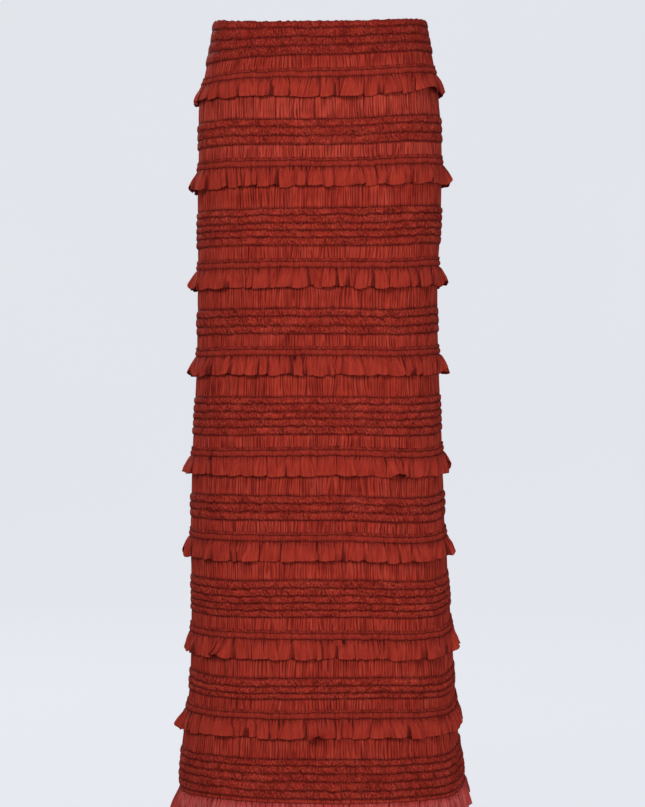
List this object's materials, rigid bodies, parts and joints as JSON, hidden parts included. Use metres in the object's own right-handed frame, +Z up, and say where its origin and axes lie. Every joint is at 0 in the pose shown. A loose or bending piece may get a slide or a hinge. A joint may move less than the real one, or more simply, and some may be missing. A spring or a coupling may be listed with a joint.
{
  "type": "tiered ruffle skirt, in its worn shape",
  "caption": "Long slim skirt of shirred tiers with a narrow gathered ruffle over every tier seam and a sheer ruffle at the hem, hollow in its worn shape.",
  "frame": {"origin": "middle of the waist opening, level with the upper ends of the side seams", "axes": "+Z up along the wearer's body, the front faces -Y, +X to the wearer's left"},
  "size_m": [0.3819, 0.2675, 1.007],
  "materials": {
    "shirred_cloth": "matt crinkled cotton voile, rust red, gathered on fine stitch lines",
    "ruffle_cloth": "matt cotton voile, rust red, with flat irregular folds",
    "hem_cloth": "sheer cotton voile, rust red, slightly see-through"
  },
  "bodies": {
    "root": {"tier_1_front": "shirred_cloth", "tier_1_back": "shirred_cloth", "tier_2_front": "shirred_cloth", "tier_2_back": "shirred_cloth", "tier_3_front": "shirred_cloth", "tier_3_back": "shirred_cloth", "tier_4_front": "shirred_cloth", "tier_4_back": "shirred_cloth", "tier_5_front": "shirred_cloth", "tier_5_back": "shirred_cloth", "tier_6_front": "shirred_cloth", "tier_6_back": "shirred_cloth", "tier_7_front": "shirred_cloth", "tier_7_back": "shirred_cloth", "tier_8_front": "shirred_cloth", "tier_8_back": "shirred_cloth", "tier_9_front": "shirred_cloth", "tier_9_back": "shirred_cloth", "ruffle_1_front": "ruffle_cloth", "ruffle_1_back": "ruffle_cloth", "ruffle_2_front": "ruffle_cloth", "ruffle_2_back": "ruffle_cloth", "ruffle_3_front": "ruffle_cloth", "ruffle_3_back": "ruffle_cloth", "ruffle_4_front": "ruffle_cloth", "ruffle_4_back": "ruffle_cloth", "ruffle_5_front": "ruffle_cloth", "ruffle_5_back": "ruffle_cloth", "ruffle_6_front": "ruffle_cloth", "ruffle_6_back": "ruffle_cloth", "ruffle_7_front": "ruffle_cloth", "ruffle_7_back": "ruffle_cloth", "ruffle_8_front": "ruffle_cloth", "ruffle_8_back": "ruffle_cloth", "hem_ruffle_front": "hem_cloth", "hem_ruffle_back": "hem_cloth"}
  },
  "joints": []
}
